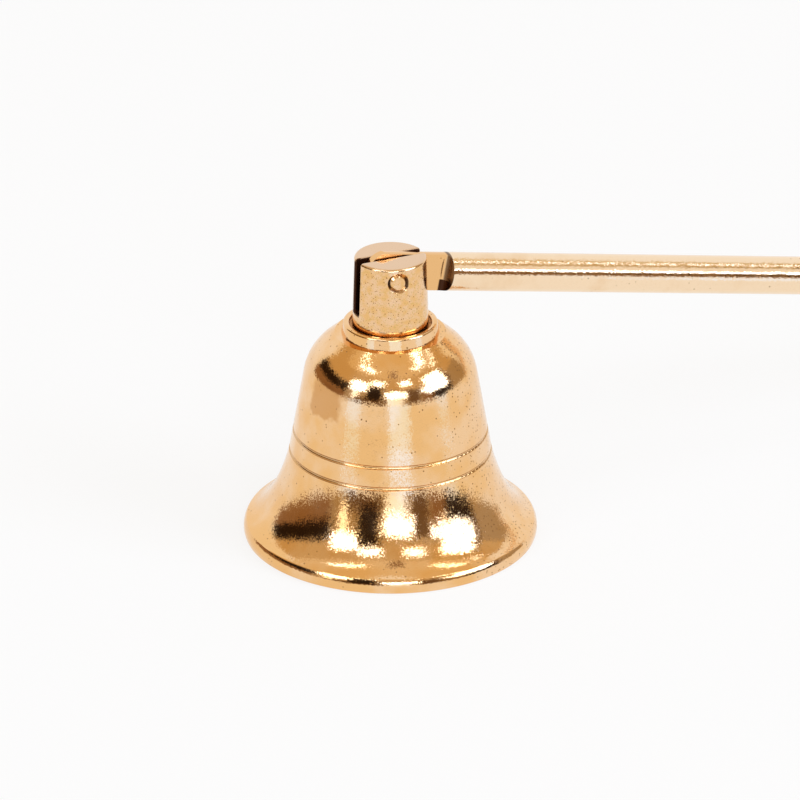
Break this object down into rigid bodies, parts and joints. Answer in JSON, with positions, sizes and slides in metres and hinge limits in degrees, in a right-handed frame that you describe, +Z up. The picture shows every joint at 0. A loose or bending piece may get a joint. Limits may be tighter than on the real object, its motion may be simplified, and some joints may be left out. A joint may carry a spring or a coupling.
{
  "type": "candle snuffer",
  "caption": "Hinged candle snuffer: a small turned bell on a slotted stem, pinned to a long round handle that swings over it.",
  "frame": {"origin": "centre of the bell's mouth, in the plane of its rim, which stands on the table", "axes": "+Z up the bell's axis; +X from the bell towards the handle's far end; the pivot pin lies along Y"},
  "size_m": [0.184, 0.035, 0.0362],
  "materials": {
    "bell_metal": "polished rose-gold plating, finely pitted",
    "fitting_metal": "polished rose-gold plating, speckled",
    "handle_metal": "polished rose-gold plating with drawn grain",
    "fastener_steel": "plain bright plating"
  },
  "bodies": {
    "bell_head": {"bell": "bell_metal", "collar": "fitting_metal", "stem": "fitting_metal", "pivot_pin": "fitting_metal", "washer": "fastener_steel", "screw": "fastener_steel"},
    "handle": {"handle_rod": "handle_metal"}
  },
  "joints": [
    {"name": "handle_pivot", "type": "hinge", "parent": "bell_head", "child": "handle", "pos_m": [-0.00075, 0, 0.0339], "axis": [0, -1, 0], "range_deg": [-13.8, 221.7]}
  ]
}
